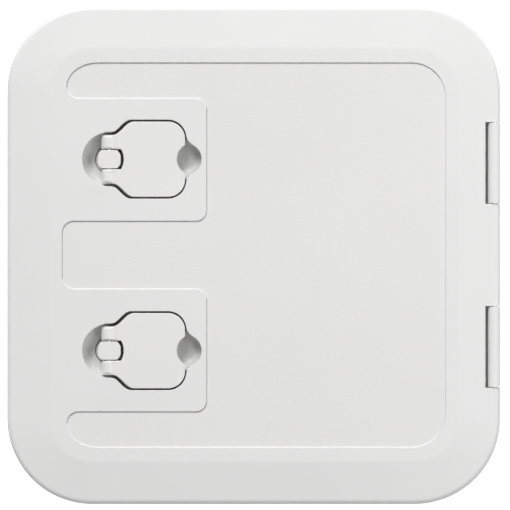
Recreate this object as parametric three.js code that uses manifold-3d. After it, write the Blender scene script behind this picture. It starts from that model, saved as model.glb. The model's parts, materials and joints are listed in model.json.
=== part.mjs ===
// Deck hatch: a nearly square lid on a flanged collar. Two knuckle hinges carry the lid's +X edge,
// and two flush lift-and-turn latches near its -X edge turn cams under the collar's ledge.
// Millimetres, +Z up. The origin is the middle of the collar's bottom edge.
import * as THREE from 'three';
import { mergeVertices } from 'three/addons/utils/BufferGeometryUtils.js';
import Module from 'manifold-3d';

const wasm = await Module();
wasm.setup();

// ---- driving dimensions --------------------------------------------------------------

const GAP = 0.3;               // clearance between pieces that touch
const CUT = 1;                 // how far a cutting tool runs past the face it cuts

// lid outline and heights
const LID_HALF = 187.5;        // the lid is 375 mm along X
const LONGER = 2;              // every outline reaches this much further along Y than along X
const LID_CORNER = 65;         // corner radius of the lid's outline
const LID_BOTTOM = 43.5;       // lower edge of the lid's skirt
const EDGE_TOP = 51.5;         // height of the rim at the lid's outer edge
const EDGE_FILLET = 4.2;        // rounding of the outer edge
const PLATEAU_HALF = 155;      // where the sloping rim meets the flat top
const PLATEAU = 55;            // flat top of the lid
const PANEL_DEPTH = 1;         // the E-shaped tread panel lies this far below the top
const ROOF = 50.5;             // underside of the lid inside the seal
const RIM_ROOF = 48.4;         // underside of the lid between skirt and seal
const SKIRT_INNER = 174.6;     // inner face of the skirt, which also holds the hinge pins
const SEAL_RIB_LOW = 46;       // lower edge of the two ribs that hold the seal
const RIB_LOW = 46;            // lower edge of the stiffening ribs
const RIB_WIDTH = 2.5;
const RIBS_AT_X = [-30, 28, 86];
const RIBS_AT_Y = [-119, -28, 0, 28, 119];

// frame
const DECK = 40;               // the flange's underside, which lies on the deck
const FLANGE_TOP = 43;
const FLANGE_HALF = 186;
const COLLAR_OUTER = 158;      // the collar drops through a 320 by 324 mm cut-out in the deck
const COLLAR_INNER = 155;
const LEDGE_LOW = 31;          // the cams pull up against this face
const LEDGE_TOP = 33.5;        // floor of the drain gutter
const LIP_OUTER = 150;
const OPENING_HALF = 147;      // clear opening, 294 mm along X
const LIP_TOP = 44;            // the seal closes on this lip

// deck screws, countersunk, 12 of them
const SCREW_LINE = 172.5;
const SCREW_HOLE_R = 2.6;
const SCREW_HEAD_R = 4.9;
const SCREW_HEAD_DEPTH = 2.3;
const SCREW_PITCH = 98;

// hinges
const HINGE_X = 182.9;
const HINGE_Z = 48.7;
const HINGE_CLEAR_R = 5.2;     // the lid's outboard edge stays inside this radius
const NOTCH_X = 176.2;
const NOTCH_NEAR = 38.8;
const NOTCH_FAR = 100.9;
const NOTCH_END_GAP = 0.6;
const KNUCKLE_R = 4.6;
const KNUCKLE_WEB_IN = 3.4;    // the web under the barrel, either side of the axis
const KNUCKLE_WEB_OUT = 3.1;
const HINGE_PIN_R = 1.95;
const HINGE_PIN_NEAR = 27;
const HINGE_PIN_FAR = 138;
const HINGE_BORE_FAR = 160;    // the bore runs out of the lid's rounded corner

// latches: everything below is measured from the spindle's axis
const SPINDLE_X = -109.7;
const SPINDLE_Y = 72.7;
const WALL = 3;                // the lid's thickness around the latch pocket
const BOWL_R = 20.4;
const BOWL_FLOOR_R = 15.4;
const BOWL_FLOOR = 41.6;
const BOWL_POWER = 2.6;
const DISH_X = 58.3;
const DISH_R = 11.8;
const DISH_FLOOR_R = 5.5;
const DISH_FLOOR = 43.5;
const DISH_POWER = 2.4;
const POCKET_FLOOR = 47;
const POCKET_GAP = 1.35;
const POCKET_END_GAP = 0.9;    // the gap narrows towards the dish
const POCKET_LEAD = 2.2;       // the pocket's shoulders start this far before the handle's
const BOSS_R = 13;
const BOSS_LOW = 31;

// handle
const PIN_X = -0.6;
const PIN_Z = 49.2;
const PIN_R = 1.9;
const PIN_HALF = 17.8;
const BARREL_R = 5.6;
const FORK_HALF = 18.4;
const SLOT_HALF = 7.5;
const SLOT_END = 10.9;
const SLOT_END_R = 15;
const SHOULDER_START = 2;
const SHOULDER_END = 19;
const SHOULDER_EASE = 7;       // how far the shoulder curve follows its end tangents
const PLATE_HALF = 28.6;
const PLATE_END = 57.6;
const PLATE_CORNER = 13;
const PLATE_TOP = 54.8;
const PLATE_THICK = 4.2;
const PLATE_BEVEL = 0.6;
const NOTCH_ARC_X = 63.4;
const NOTCH_ARC_R = 12;

// spindle, shaft and cam
const DISC_R = 10.5;
const DISC_GAP = 0.4;
const DISC_THICK = 3;
const TONGUE_R = 9.1;
const TONGUE_HALF = 7.1;
const TONGUE_REACH = 8.7;
const TONGUE_TOP = 53.8;
const HUB_R = 6;
const HUB_LOW = 35.3;
const RING_SEAT_R = 8.3;
const RING_SEAT_LOW = 35.6;
const RING_R = 7.15;
const RING_WIRE_R = 0.82;
const RING_Z = 36.8;
const SHAFT_TOP = 35;
const SHAFT_SHOULDER = 30.8;
const SQUARE_HALF = 4;
const SQUARE_LOW = 26;
const THREAD_R = 3;
const THREAD_LOW = 19;
const CAM_TOP = 30.2;
const CAM_THICK = 4;
const CAM_HUB_R = 10;
const CAM_ARM_HALF = 7;
const CAM_LENGTH = 44;
const WASHER_R = 9;
const WASHER_TOP = 25.9;
const WASHER_THICK = 1.3;
const NUT_TOP = 24.3;
const NUT_THICK = 4.5;
const NUT_R = 5.77;            // across corners, 10 mm across flats

// seal
const SEAL_INNER = 145.6;
const SEAL_OUTER = 151.6;
const SEAL_LOW = LIP_TOP + GAP;
const SEAL_TOP = ROOF - GAP;
const SEAL_BEVEL = 1.6;
const SEAL_CHANNEL_GAP = 0.4;
const SEAL_RIB_WIDTH = 3.2;

const ARC_STEPS = 8;           // straight pieces in each corner of the lid and frame
const ROUND_STEPS = 24;        // straight pieces in a round piece

// ---- materials -----------------------------------------------------------------------

function material(color, roughness, metalness) {
  return new THREE.MeshStandardMaterial({ color, roughness, metalness });
}

const WHITE_PLASTIC = material('#e9e9e5', 0.42, 0);
const STEEL = material('#b9bcbf', 0.3, 1);
const BLACK_NYLON = material('#2b2c2e', 0.5, 0);
const RUBBER = material('#1c1d1e', 0.8, 0);

// ---- solids --------------------------------------------------------------------------

// A closed mesh with shared corners becomes a solid that can be joined and cut.
function solid(geometry) {
  const bare = geometry.clone();
  bare.deleteAttribute('normal');
  bare.deleteAttribute('uv');
  const merged = mergeVertices(bare, 1e-4);
  const corners = merged.attributes.position;
  const triangles = [];
  let volume = 0;
  const [a, b, c] = [new THREE.Vector3(), new THREE.Vector3(), new THREE.Vector3()];
  for (let i = 0; i < merged.index.count; i += 3) {
    const ids = [0, 1, 2].map((k) => merged.index.getX(i + k));
    if (new Set(ids).size < 3) continue;
    triangles.push(...ids);
    [a, b, c].forEach((corner, k) => corner.fromBufferAttribute(corners, ids[k]));
    volume += a.dot(b.cross(c));
  }
  if (volume < 0) triangles.reverse();
  return new wasm.Manifold(new wasm.Mesh({
    numProp: 3,
    vertProperties: new Float32Array(corners.array),
    triVerts: Uint32Array.from(triangles),
  }));
}

function geometryOf(body) {
  const { vertProperties, triVerts } = body.getMesh();
  const geometry = new THREE.BufferGeometry();
  geometry.setAttribute('position', new THREE.BufferAttribute(vertProperties, 3));
  geometry.setIndex(new THREE.BufferAttribute(triVerts, 1));
  geometry.computeVertexNormals();
  return geometry;
}

function namedMesh(name, body, finish, x = 0, y = 0) {
  const mesh = new THREE.Mesh(geometryOf(body), finish);
  mesh.name = name;
  mesh.position.set(x, y, 0);
  return mesh;
}

// A round bar along Z.
function bar(radius, low, high, x = 0, y = 0, steps = ROUND_STEPS) {
  const geometry = new THREE.CylinderGeometry(radius, radius, high - low, steps);
  geometry.rotateX(Math.PI / 2);
  geometry.translate(x, y, (low + high) / 2);
  return solid(geometry);
}

// A round bar along Y.
function crossBar(radius, near, far, x, z, steps = 24) {
  const geometry = new THREE.CylinderGeometry(radius, radius, far - near, steps);
  geometry.translate(x, (near + far) / 2, z);
  return solid(geometry);
}

function box(x0, x1, y0, y1, z0, z1) {
  const geometry = new THREE.BoxGeometry(x1 - x0, y1 - y0, z1 - z0);
  geometry.translate((x0 + x1) / 2, (y0 + y1) / 2, (z0 + z1) / 2);
  return solid(geometry);
}

// A flat outline raised from low to high.
function raise(shape, low, high, bevel = 0, curveSegments = 8) {
  const geometry = new THREE.ExtrudeGeometry(shape, {
    depth: high - low - 2 * bevel,
    bevelEnabled: bevel > 0,
    bevelThickness: bevel,
    bevelSize: bevel,
    bevelOffset: -bevel,
    bevelSegments: 2,
    curveSegments,
  });
  geometry.translate(0, 0, low + bevel);
  return solid(geometry);
}

// An outline drawn in X and Z, run along Y.
function runAlongY(shape, near, far, curveSegments = 8) {
  const geometry = new THREE.ExtrudeGeometry(shape, {
    depth: far - near,
    bevelEnabled: false,
    curveSegments,
  });
  geometry.rotateX(Math.PI / 2);
  geometry.translate(0, far, 0);
  return solid(geometry);
}

// A profile of [radius, height] points turned about Z.
function turned(profile, x = 0, y = 0) {
  const points = profile.map(([radius, height]) => new THREE.Vector2(radius, height));
  const geometry = new THREE.LatheGeometry(points, ROUND_STEPS);
  geometry.rotateX(Math.PI / 2);
  geometry.translate(x, y, 0);
  return solid(geometry);
}

// ---- the rounded outline that the lid, frame and seal share --------------------------

// Every outline is the lid's outline moved inward, so their corners stay concentric.
function squareOutline(half) {
  const radius = LID_CORNER - (LID_HALF - half);
  const centre = half - radius;
  const points = [];
  for (let corner = 0; corner < 4; corner += 1) {
    const start = corner * Math.PI / 2;
    const [sx, sy] = [[1, 1], [-1, 1], [-1, -1], [1, -1]][corner];
    for (let i = 0; i <= ARC_STEPS; i += 1) {
      const angle = start + i / ARC_STEPS * Math.PI / 2;
      const x = sx * centre + radius * Math.cos(angle);
      const y = sy * (centre + LONGER) + radius * Math.sin(angle);
      points.push(new THREE.Vector2(x, y));
    }
  }
  return points;
}

function quads(rings, closed) {
  const count = rings[0].length;
  const positions = rings.flat().flatMap((p) => p.toArray());
  const index = [];
  const bands = closed ? rings.length : rings.length - 1;
  for (let ring = 0; ring < bands; ring += 1) {
    const next = (ring + 1) % rings.length;
    for (let i = 0; i < count; i += 1) {
      const j = (i + 1) % count;
      const [a, b] = [ring * count + i, ring * count + j];
      const [c, d] = [next * count + i, next * count + j];
      index.push(a, b, d, a, d, c);
    }
  }
  return { positions, index, count };
}

function indexed(positions, index) {
  const geometry = new THREE.BufferGeometry();
  geometry.setAttribute('position', new THREE.Float32BufferAttribute(positions, 3));
  geometry.setIndex(index);
  return solid(geometry);
}

function ringAt([half, height]) {
  return squareOutline(half).map((p) => new THREE.Vector3(p.x, p.y, height));
}

// A closed profile of [half width, height] points run around the rounded square.
function runAround(profile) {
  const { positions, index } = quads(profile.map(ringAt), true);
  return indexed(positions, index);
}

// An open profile, bottom to top, run around the rounded square and closed by flat ends.
function stack(profile) {
  const { positions, index, count } = quads(profile.map(ringAt), false);
  const bottom = positions.length / 3;
  const top = bottom + 1;
  positions.push(0, 0, profile[0][1]);
  positions.push(0, 0, profile[profile.length - 1][1]);
  const last = (profile.length - 1) * count;
  for (let i = 0; i < count; i += 1) {
    const j = (i + 1) % count;
    index.push(bottom, j, i);
    index.push(top, last + i, last + j);
  }
  return indexed(positions, index);
}

function slab(half, low, high) {
  return stack([[half, low], [half, high]]);
}

function band(inner, outer, low, high) {
  return runAround([[outer, low], [outer, high], [inner, high], [inner, low]]);
}

// A polygon whose corners, [x, y, radius], are rounded by arcs.
function roundedPolygon(corners) {
  const shape = new THREE.Shape();
  const count = corners.length;
  corners.forEach(([x, y, radius], i) => {
    const here = new THREE.Vector2(x, y);
    const before = new THREE.Vector2(...corners[(i + count - 1) % count]).sub(here).normalize();
    const after = new THREE.Vector2(...corners[(i + 1) % count]).sub(here).normalize();
    const enter = here.clone().addScaledVector(before, radius);
    const leave = here.clone().addScaledVector(after, radius);
    const centre = enter.clone().addScaledVector(after, radius);
    const from = Math.atan2(enter.y - centre.y, enter.x - centre.x);
    const to = Math.atan2(leave.y - centre.y, leave.x - centre.x);
    const clockwise = before.cross(after) > 0;
    if (i === 0) shape.moveTo(enter.x, enter.y);
    else shape.lineTo(enter.x, enter.y);
    shape.absarc(centre.x, centre.y, radius, from, to, clockwise);
  });
  shape.closePath();
  return shape;
}

// ---- frame ---------------------------------------------------------------------------

// Collar, flange, gutter and sealing lip are one moulding with one section all round.
const FRAME_SECTION = [
  [COLLAR_OUTER, 0],
  [COLLAR_OUTER, DECK],
  [FLANGE_HALF, DECK],
  [FLANGE_HALF, FLANGE_TOP],
  [COLLAR_INNER, FLANGE_TOP],
  [COLLAR_INNER, LEDGE_TOP],
  [LIP_OUTER, LEDGE_TOP],
  [LIP_OUTER, LIP_TOP],
  [OPENING_HALF, LIP_TOP],
  [OPENING_HALF, LEDGE_LOW],
  [COLLAR_INNER, LEDGE_LOW],
  [COLLAR_INNER, 0],
];

function knuckle(side) {
  const near = NOTCH_NEAR + NOTCH_END_GAP;
  const far = NOTCH_FAR - NOTCH_END_GAP;
  const [y0, y1] = side > 0 ? [near, far] : [-far, -near];
  const barrel = crossBar(KNUCKLE_R, y0, y1, HINGE_X, HINGE_Z, ROUND_STEPS);
  const [x0, x1] = [HINGE_X - KNUCKLE_WEB_IN, HINGE_X + KNUCKLE_WEB_OUT];
  const web = box(x0, x1, y0, y1, DECK + CUT, HINGE_Z);
  return barrel.add(web);
}

function deckScrewHole(x, y) {
  return turned([
    [0, DECK - CUT],
    [SCREW_HOLE_R, DECK - CUT],
    [SCREW_HOLE_R, FLANGE_TOP - SCREW_HEAD_DEPTH],
    [SCREW_HEAD_R, FLANGE_TOP],
    [SCREW_HEAD_R, FLANGE_TOP + CUT],
    [0, FLANGE_TOP + CUT],
  ], x, y);
}

function hingeBore(side) {
  const [y0, y1] = side > 0
    ? [HINGE_PIN_NEAR - GAP, HINGE_BORE_FAR]
    : [-HINGE_BORE_FAR, -HINGE_PIN_NEAR + GAP];
  return crossBar(HINGE_PIN_R + GAP, y0, y1, HINGE_X, HINGE_Z);
}

function frame() {
  let body = runAround(FRAME_SECTION);
  for (const side of [1, -1]) {
    body = body.add(knuckle(side)).subtract(hingeBore(side));
    for (const step of [-1, 0, 1]) {
      const along = step * SCREW_PITCH;
      body = body.subtract(deckScrewHole(side * SCREW_LINE, along));
      body = body.subtract(deckScrewHole(along, side * (SCREW_LINE + LONGER)));
    }
  }
  return body;
}

// ---- lid -----------------------------------------------------------------------------

// Skirt, rounded outer edge and sloping rim, from the bottom edge to the flat top.
function lidSection() {
  const slope = (PLATEAU - EDGE_TOP) / (LID_HALF - PLATEAU_HALF);
  const tilt = Math.atan(slope);
  const centreZ = EDGE_TOP + slope * EDGE_FILLET - EDGE_FILLET / Math.cos(tilt);
  const section = [[LID_HALF - 1, LID_BOTTOM], [LID_HALF, LID_BOTTOM + 1]];
  const steps = 5;
  for (let i = 0; i <= steps; i += 1) {
    const angle = i / steps * (Math.PI / 2 - tilt);
    const half = LID_HALF - EDGE_FILLET + EDGE_FILLET * Math.cos(angle);
    section.push([half, centreZ + EDGE_FILLET * Math.sin(angle)]);
  }
  section.push([PLATEAU_HALF, PLATEAU]);
  return section;
}

// The E-shaped tread panel: a square with two islands left standing for the latches.
const PANEL_RIGHT = 145.8;
const PANEL_HALF = 146;
const PANEL_ARM_LEFT = -142;
const PANEL_TONGUE_LEFT = -145.5;
const ISLAND_RIGHT = -35.8;
const ISLAND_NEAR = 25.8;
const ISLAND_FAR = 118.9;

function panelOutline() {
  const upper = [
    [PANEL_RIGHT, PANEL_HALF, 26],
    [PANEL_ARM_LEFT, PANEL_HALF, 18],
    [PANEL_ARM_LEFT, ISLAND_FAR, 9],
    [ISLAND_RIGHT, ISLAND_FAR, 8],
    [ISLAND_RIGHT, ISLAND_NEAR, 8],
    [PANEL_TONGUE_LEFT, ISLAND_NEAR, 9],
  ];
  const lower = upper.map(([x, y, radius]) => [x, -y, radius]).reverse();
  return roundedPolygon([...upper, ...lower]);
}

// A dish: flat floor, coved wall, and straight up above the rim.
function dish(floorR, rimR, floorZ, rimZ, power, topZ) {
  const profile = [[0, floorZ]];
  const steps = 8;
  for (let i = 0; i <= steps; i += 1) {
    const angle = i / steps * Math.PI / 2;
    const out = Math.sin(angle) ** (2 / power);
    const up = 1 - Math.cos(angle) ** (2 / power);
    profile.push([floorR + (rimR - floorR) * out, floorZ + (rimZ - floorZ) * up]);
  }
  profile.push([rimR, topZ], [0, topZ]);
  return profile;
}

// The handle's outline in plan. The pocket's is the same curve grown by a gap at its sides
// and end, with shoulders that lead the handle's.
function handleOutline(grow, growEnd, lead) {
  const fork = FORK_HALF + grow;
  const half = PLATE_HALF + grow;
  const end = PLATE_END + growEnd;
  const corner = PLATE_CORNER + growEnd;
  const from = SHOULDER_START - lead;
  const to = SHOULDER_END - lead;
  const [after, before] = [from + SHOULDER_EASE, to - SHOULDER_EASE];
  const shape = new THREE.Shape();
  shape.moveTo(PIN_X - lead, -fork);
  shape.lineTo(from, -fork);
  shape.bezierCurveTo(after, -fork, before, -half, to, -half);
  shape.lineTo(end - corner, -half);
  shape.absarc(end - corner, -half + corner, corner, -Math.PI / 2, 0, false);
  shape.lineTo(end, half - corner);
  shape.absarc(end - corner, half - corner, corner, 0, Math.PI / 2, false);
  shape.lineTo(to, half);
  shape.bezierCurveTo(before, half, after, fork, from, fork);
  shape.lineTo(PIN_X - lead, fork);
  shape.closePath();
  return shape;
}

// The hollow that takes a latch: bowl, handle pocket, finger dish, spindle seat and bore.
function latchHollow() {
  const top = PLATEAU + CUT;
  return turned(dish(BOWL_FLOOR_R, BOWL_R, BOWL_FLOOR, PLATEAU, BOWL_POWER, top))
    .add(raise(handleOutline(POCKET_GAP, POCKET_END_GAP, POCKET_LEAD), POCKET_FLOOR, top))
    .add(turned(dish(DISH_FLOOR_R, DISH_R, DISH_FLOOR, PLATEAU, DISH_POWER, top), DISH_X))
    .add(bar(DISC_R + DISC_GAP, BOWL_FLOOR - DISC_THICK - GAP, BOWL_FLOOR + CUT))
    .add(bar(RING_SEAT_R, RING_SEAT_LOW, BOWL_FLOOR))
    .add(bar(HUB_R + GAP, BOSS_LOW - CUT, BOWL_FLOOR));
}

// The walls of that hollow, which hang below the lid's roof.
function latchWalls() {
  const high = ROOF + CUT;
  const bowl = dish(BOWL_FLOOR_R, BOWL_R + WALL, BOWL_FLOOR - WALL, high, BOWL_POWER, high + CUT);
  const well = dish(DISH_FLOOR_R, DISH_R + WALL, DISH_FLOOR - WALL, high, DISH_POWER, high + CUT);
  const pocket = handleOutline(POCKET_GAP + WALL, POCKET_END_GAP + WALL, POCKET_LEAD + WALL);
  return turned(bowl)
    .add(raise(pocket, POCKET_FLOOR - WALL, high))
    .add(turned(well, DISH_X))
    .add(bar(BOSS_R, BOSS_LOW, BOWL_FLOOR));
}

function stiffeningRibs() {
  const reach = SEAL_INNER - SEAL_CHANNEL_GAP - SEAL_RIB_WIDTH + CUT;
  const far = reach + LONGER;
  const half = RIB_WIDTH / 2;
  const [low, high] = [RIB_LOW, ROOF + CUT];
  const across = RIBS_AT_Y.map((y) => box(-reach, reach, y - half, y + half, low, high));
  const along = RIBS_AT_X.map((x) => box(x - half, x + half, -far, far, low, high));
  return [...across, ...along].reduce((ribs, rib) => ribs.add(rib));
}

// The lid's outboard lower edge is rounded about the hinge axis, so that it clears the flange.
function hingeClearance() {
  const shape = new THREE.Shape();
  const far = HINGE_X + 2 * HINGE_CLEAR_R;
  shape.moveTo(HINGE_X, HINGE_Z - HINGE_CLEAR_R);
  shape.lineTo(HINGE_X, LID_BOTTOM - CUT);
  shape.lineTo(far, LID_BOTTOM - CUT);
  shape.lineTo(far, HINGE_Z);
  shape.lineTo(HINGE_X + HINGE_CLEAR_R, HINGE_Z);
  shape.absarc(HINGE_X, HINGE_Z, HINGE_CLEAR_R, 0, -Math.PI / 2, true);
  return runAlongY(shape, -LID_HALF - LONGER, LID_HALF + LONGER);
}

function hingeNotch(side) {
  const [y0, y1] = side > 0 ? [NOTCH_NEAR, NOTCH_FAR] : [-NOTCH_FAR, -NOTCH_NEAR];
  return box(NOTCH_X, LID_HALF + CUT, y0, y1, LID_BOTTOM - CUT, PLATEAU + CUT);
}

function lid() {
  const channelIn = SEAL_INNER - SEAL_CHANNEL_GAP;
  const channelOut = SEAL_OUTER + SEAL_CHANNEL_GAP;
  const low = LID_BOTTOM - CUT;
  const side = SPINDLE_Y;
  let body = stack(lidSection())
    .subtract(slab(SKIRT_INNER, low, SEAL_RIB_LOW))
    .subtract(band(channelOut + SEAL_RIB_WIDTH, SKIRT_INNER, low, RIM_ROOF))
    .subtract(band(channelIn, channelOut, low, ROOF))
    .subtract(slab(channelIn - SEAL_RIB_WIDTH, low, ROOF))
    .add(stiffeningRibs());
  const panel = raise(panelOutline(), PLATEAU - PANEL_DEPTH, PLATEAU + CUT);
  body = body.subtract(panel).subtract(hingeClearance());
  for (const y of [side, -side]) body = body.add(latchWalls().translate([SPINDLE_X, y, 0]));
  for (const y of [side, -side]) body = body.subtract(latchHollow().translate([SPINDLE_X, y, 0]));
  for (const end of [1, -1]) body = body.subtract(hingeNotch(end)).subtract(hingeBore(end));
  return body;
}

function lidSeal() {
  return runAround([
    [SEAL_OUTER - SEAL_BEVEL, SEAL_LOW],
    [SEAL_OUTER, SEAL_LOW + SEAL_BEVEL],
    [SEAL_OUTER, SEAL_TOP],
    [SEAL_INNER, SEAL_TOP],
    [SEAL_INNER, SEAL_LOW + SEAL_BEVEL],
    [SEAL_INNER + SEAL_BEVEL, SEAL_LOW],
  ]);
}

function hingePin() {
  return crossBar(HINGE_PIN_R, HINGE_PIN_NEAR, HINGE_PIN_FAR, HINGE_X, HINGE_Z);
}

// ---- latch pieces, about the spindle's axis ------------------------------------------

// The fork, its barrel about the pin, the grip plate and the scoop at the plate's free end.
function handle() {
  const forkSlot = new THREE.Shape();
  const sweep = Math.asin(SLOT_HALF / SLOT_END_R);
  forkSlot.moveTo(PIN_X - 2 * BARREL_R, SLOT_HALF);
  forkSlot.lineTo(PIN_X - 2 * BARREL_R, -SLOT_HALF);
  forkSlot.absarc(SLOT_END - SLOT_END_R, 0, SLOT_END_R, -sweep, sweep, false);
  const pinBore = crossBar(PIN_R + GAP, -2 * FORK_HALF, 2 * FORK_HALF, PIN_X, PIN_Z);
  return raise(handleOutline(0, 0, 0), PLATE_TOP - PLATE_THICK, PLATE_TOP, PLATE_BEVEL)
    .add(crossBar(BARREL_R, -FORK_HALF, FORK_HALF, PIN_X, PIN_Z, ROUND_STEPS))
    .subtract(raise(forkSlot, 0, PLATEAU + CUT))
    .subtract(bar(NOTCH_ARC_R, 0, PLATEAU + CUT, NOTCH_ARC_X))
    .subtract(pinBore);
}

function handlePin() {
  return crossBar(PIN_R, -PIN_HALF, PIN_HALF, PIN_X, PIN_Z);
}

// Disc in the bowl's floor, the tongue that the handle's pin goes through, and the hub.
function spindleHead() {
  const low = BOWL_FLOOR - DISC_THICK;
  const width = box(-TONGUE_REACH, TONGUE_REACH, -TONGUE_HALF, TONGUE_HALF, low, TONGUE_TOP);
  return bar(TONGUE_R, low + CUT, TONGUE_TOP)
    .intersect(width)
    .add(bar(DISC_R, low, BOWL_FLOOR))
    .add(bar(HUB_R, HUB_LOW, low + CUT))
    .subtract(crossBar(PIN_R + GAP, -2 * TONGUE_HALF, 2 * TONGUE_HALF, PIN_X, PIN_Z));
}

function spindleRing() {
  const geometry = new THREE.TorusGeometry(RING_R, RING_WIRE_R, 8, ROUND_STEPS);
  geometry.translate(0, 0, RING_Z);
  return solid(geometry);
}

function camShaft() {
  const square = box(-SQUARE_HALF, SQUARE_HALF, -SQUARE_HALF, SQUARE_HALF, SQUARE_LOW, SHAFT_TOP);
  return bar(HUB_R, SHAFT_SHOULDER, SHAFT_TOP)
    .add(square)
    .add(bar(THREAD_R, THREAD_LOW, SHAFT_TOP));
}

// The arm points to -X, and its end is an arc about the shaft.
function cam() {
  const hubAngle = Math.asin(CAM_ARM_HALF / CAM_HUB_R);
  const tipAngle = Math.asin(CAM_ARM_HALF / CAM_LENGTH);
  const shape = new THREE.Shape();
  shape.absarc(0, 0, CAM_HUB_R, -Math.PI + hubAngle, Math.PI - hubAngle, false);
  shape.absarc(0, 0, CAM_LENGTH, Math.PI - tipAngle, Math.PI + tipAngle, false);
  shape.closePath();
  const hole = SQUARE_HALF + GAP;
  return raise(shape, CAM_TOP - CAM_THICK, CAM_TOP)
    .subtract(box(-hole, hole, -hole, hole, 0, CAM_TOP + CUT));
}

function camWasher() {
  return bar(WASHER_R, WASHER_TOP - WASHER_THICK, WASHER_TOP)
    .subtract(bar(THREAD_R + GAP, 0, CAM_TOP));
}

function camNut() {
  return bar(NUT_R, NUT_TOP - NUT_THICK, NUT_TOP, 0, 0, 6)
    .subtract(bar(THREAD_R + GAP, 0, CAM_TOP));
}

// ---- assembly ------------------------------------------------------------------------

const hatch = new THREE.Group();
hatch.add(namedMesh('frame', frame(), WHITE_PLASTIC));
hatch.add(namedMesh('lid', lid(), WHITE_PLASTIC));
hatch.add(namedMesh('lid_seal', lidSeal(), RUBBER));

const LATCH_PIECES = [
  ['spindle_head', spindleHead, WHITE_PLASTIC],
  ['spindle_o_ring', spindleRing, RUBBER],
  ['handle', handle, WHITE_PLASTIC],
  ['handle_pin', handlePin, STEEL],
  ['cam_shaft', camShaft, STEEL],
  ['cam', cam, BLACK_NYLON],
  ['cam_washer', camWasher, STEEL],
  ['cam_nut', camNut, STEEL],
];

for (const [place, side] of [['upper', 1], ['lower', -1]]) {
  const pin = side > 0 ? hingePin() : hingePin().mirror([0, 1, 0]);
  hatch.add(namedMesh(`hinge_pin_${place}`, pin, STEEL));
  for (const [name, make, finish] of LATCH_PIECES) {
    hatch.add(namedMesh(`${name}_${place}`, make(), finish, SPINDLE_X, side * SPINDLE_Y));
  }
}

export default hatch;
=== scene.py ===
"""Looks of the deck hatch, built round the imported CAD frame.

Outlines are drawn in millimetres and turned into metres when a mesh is made.
"""

import json
import math

import bmesh
import bpy
import numpy as np
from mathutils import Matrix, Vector
from mathutils.geometry import delaunay_2d_cdt


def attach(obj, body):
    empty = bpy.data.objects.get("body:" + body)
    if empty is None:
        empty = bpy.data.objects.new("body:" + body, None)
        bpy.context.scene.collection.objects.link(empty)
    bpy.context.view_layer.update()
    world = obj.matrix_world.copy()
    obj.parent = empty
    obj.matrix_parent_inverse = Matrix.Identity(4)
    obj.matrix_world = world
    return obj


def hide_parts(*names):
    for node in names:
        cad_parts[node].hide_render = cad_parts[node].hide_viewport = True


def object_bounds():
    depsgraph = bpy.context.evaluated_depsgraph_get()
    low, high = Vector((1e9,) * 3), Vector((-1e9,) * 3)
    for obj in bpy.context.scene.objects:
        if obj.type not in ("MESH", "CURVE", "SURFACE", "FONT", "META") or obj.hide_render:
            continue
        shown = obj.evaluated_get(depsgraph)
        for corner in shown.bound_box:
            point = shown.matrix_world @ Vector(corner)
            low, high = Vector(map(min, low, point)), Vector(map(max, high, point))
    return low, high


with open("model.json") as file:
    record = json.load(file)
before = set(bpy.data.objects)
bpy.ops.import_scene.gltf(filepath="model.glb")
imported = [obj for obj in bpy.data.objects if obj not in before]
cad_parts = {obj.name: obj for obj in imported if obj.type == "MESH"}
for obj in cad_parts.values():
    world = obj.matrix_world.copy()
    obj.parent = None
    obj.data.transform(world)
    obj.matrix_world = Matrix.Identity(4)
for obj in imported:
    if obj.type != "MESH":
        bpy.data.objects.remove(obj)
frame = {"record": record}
CAD_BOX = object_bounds()

MM = 0.001

# ---- sizes from the frame, in millimetres ----

CAD_HIGH = np.array(CAD_BOX[1]) / MM
LID_HALF = CAD_HIGH[0]
LONGER = CAD_HIGH[1] - CAD_HIGH[0]
TOP = CAD_HIGH[2]
JOINTS = {joint["name"]: joint for joint in frame["record"]["behaviour"]["joints"]}
HINGE_X, _, HINGE_Z = (v / MM for v in JOINTS["lid_open"]["pos_m"])
PIN_WORLD_X, SPINDLE_Y, PIN_Z = (v / MM for v in JOINTS["handle_lift_upper"]["pos_m"])
SPINDLE_X = JOINTS["cam_turn_upper"]["pos_m"][0] / MM
PIN_X = PIN_WORLD_X - SPINDLE_X

# ---- lid, in millimetres ----

LID_CORNER = 65.0
LID_BOTTOM = 43.5
EDGE_TOP = 51.5
EDGE_FILLET = 4.2
PLATEAU_HALF = 155.0
PLATEAU_BLEND = 1.6            # the crease where the rim meets the flat top is this soft
ROOF = 50.5
RIM_ROOF = 48.4
SKIRT_INNER = 174.6
SKIRT_ROUND = 0.8
SEAL_RIB_LOW = 46.0
SEAL_RIB_OUTER = 155.2
CHANNEL_OUTER = 152.0
CHANNEL_INNER = 145.2
SEAL_RIB_INNER = 142.0
HINGE_CLEAR_R = 5.2
NOTCH_X = 176.2
NOTCH_NEAR = 38.8
NOTCH_FAR = 100.9
NOTCH_BEVEL = 0.25
NOTCH_BACK_BEVEL = 1.1

PANEL_RIGHT = 145.8
PANEL_HALF = 146.0
PANEL_ARM_LEFT = -142.0
PANEL_TONGUE_LEFT = -145.5
ISLAND_RIGHT = -35.8
ISLAND_NEAR = 25.8
ISLAND_FAR = 118.9
PANEL_DEPTH = 1.0

RIB_WIDTH = 2.5
RIBS_AT_X = (-30.0, 28.0, 86.0)
RIBS_AT_Y = (-119.0, -28.0, 0.0, 28.0, 119.0)

# ---- latch, in millimetres from the spindle's axis ----

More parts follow.
